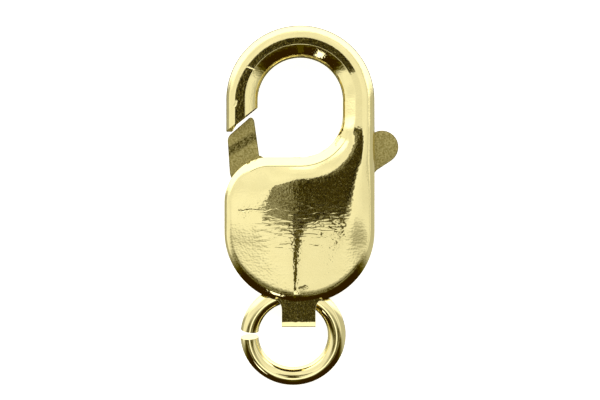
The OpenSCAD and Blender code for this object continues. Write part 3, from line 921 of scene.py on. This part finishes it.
# Panels round the tent: three seams on the east, a darker skirt on the west, the lamp on
# the north and what it lights below, and a dark opening on the south. Columns: brightness,
# side, where on that side it starts and is full, and the tilts where it starts and is full.
for panel, at_side, side_from, side_full, tilt_from, tilt_full in (
        (0.7, east, 0.3, 0.75, 48, 53),
        (0.98, east, 0.3, 0.75, 55, 59),
        (0.6, east, 0.3, 0.75, 62, 74),
        (0.5, east, -0.5, -0.8, 92, 104),
        (1.8, north, 0.15, 0.5, 50, 66),
        (1.5, north, 0.15, 0.5, 112, 125),
        (0.5, north, -0.4, -0.8, 23, 30),
        (gloom, north, -0.38, -0.7, 29, 38)):
    hang(panel, part_of(at_side, side_from, side_full), part_of(Z, tilt(tilt_from), tilt(tilt_full)))
hang(0.1, part_of(north, -0.38, -0.7), part_of(Z, tilt(50), tilt(62)), part_of(Z, tilt(158), tilt(150)))
# A dark slit runs south from the camera's hole, with a bright patch across it.
span = add(tent, "ShaderNodeMath", {0: X}, operation="ABSOLUTE").outputs[0]
hang(0.14, part_of(span, 0.065, 0.045), part_of(Y, 0.0, -0.06), part_of(Z, tilt(75), tilt(70)))
hang(1.3, part_of(span, 0.12, 0.09), part_of(Y, -0.4, -0.46), part_of(Z, tilt(48), tilt(43)))
# The camera's hole and a flap on its south side are dappled. The hole is darker in the east.
hole = part_of(Z, tilt(12.6), tilt(11.4))
dapple = add(tent, "ShaderNodeTexNoise", {"Vector": way, "Scale": 30.0, "Detail": 1.0}).outputs[0]
dim = add(tent, "ShaderNodeMapRange", {0: dapple, 1: 0.4, 2: 0.6, 3: 0.13, 4: 0.55}).outputs[0]
hang(dim, hole)
hang(dim, part_of(X, -0.25, -0.22), part_of(X, 0.21, 0.18), part_of(Y, -0.22, -0.19),
     part_of(Y, 0.0, -0.03), part_of(Z, 0, 0.1))
dark = add(tent, "ShaderNodeMapRange", {0: dapple, 1: 0.44, 2: 0.64, 3: 0.08, 4: 0.42}).outputs[0]
hang(dark, part_of(X, -0.11, -0.02), hole)
dark = add(tent, "ShaderNodeMapRange", {0: dapple, 1: 0.42, 2: 0.66, 3: 0.04, 4: 0.24}).outputs[0]
hang(dark, part_of(X, -0.09, -0.01), part_of(Z, tilt(8), tilt(5.5)))
# Straight below lies the board in the clasp's own shade.
hang(0.2, part_of(Z, tilt(150), tilt(160)))
# A small gap in the south side glints on the inner wall of the hook.
hang(2.2, part_of(X, -0.45, -0.42), part_of(X, -0.3, -0.33), part_of(Y, -0.6, -0.7),
     part_of(Z, tilt(75), tilt(72)), part_of(Z, tilt(60), tilt(63)))
# Dark cloth is browner than white cloth: blue falls off first. Every light loses the same
# red, green and blue, and is then brightened again.
LOST, BRIGHTENED = (0.074, 0.088, 0.163), (1.08, 1.08, 1.08)
tone = add(tent, "ShaderNodeCombineXYZ", {"X": light, "Y": light, "Z": light})
for value, operation in ((LOST, "SUBTRACT"), ((0, 0, 0), "MAXIMUM"), (BRIGHTENED, "MULTIPLY")):
    tone = add(tent, "ShaderNodeVectorMath", {0: tone.outputs[0], 1: value}, operation=operation)
back = add(tent, "ShaderNodeBackground", {"Color": tone.outputs[0], "Strength": 1.0})
add(tent, "ShaderNodeOutputWorld", {"Surface": back.outputs[0]})

# The camera, straight above the clasp with a long lens.
# The picture is 600 x 400 and 0.05 mm to a pixel at the height of the seam.

# The sensor's width in mm, the width of the view at the seam and the camera's height over
# the seam in metres, and the view's middle in mm from the frame's own middle.
SENSOR, VIEW, FAR = 36, 0.030, 0.16
VIEW_X, VIEW_Y = -0.575, 0.314
lens = bpy.data.cameras.new("camera")
lens.sensor_fit = "HORIZONTAL"
lens.sensor_width = SENSOR
lens.lens = SENSOR * FAR / VIEW
lens.clip_start, lens.clip_end = 0.01, 5
camera = bpy.data.objects.new("camera", lens)
bpy.context.scene.collection.objects.link(camera)
camera.location = (VIEW_X * MM, VIEW_Y * MM, FAR + HALF * MM)
bpy.context.scene.camera = camera
bpy.context.scene.view_settings.view_transform = "Standard"
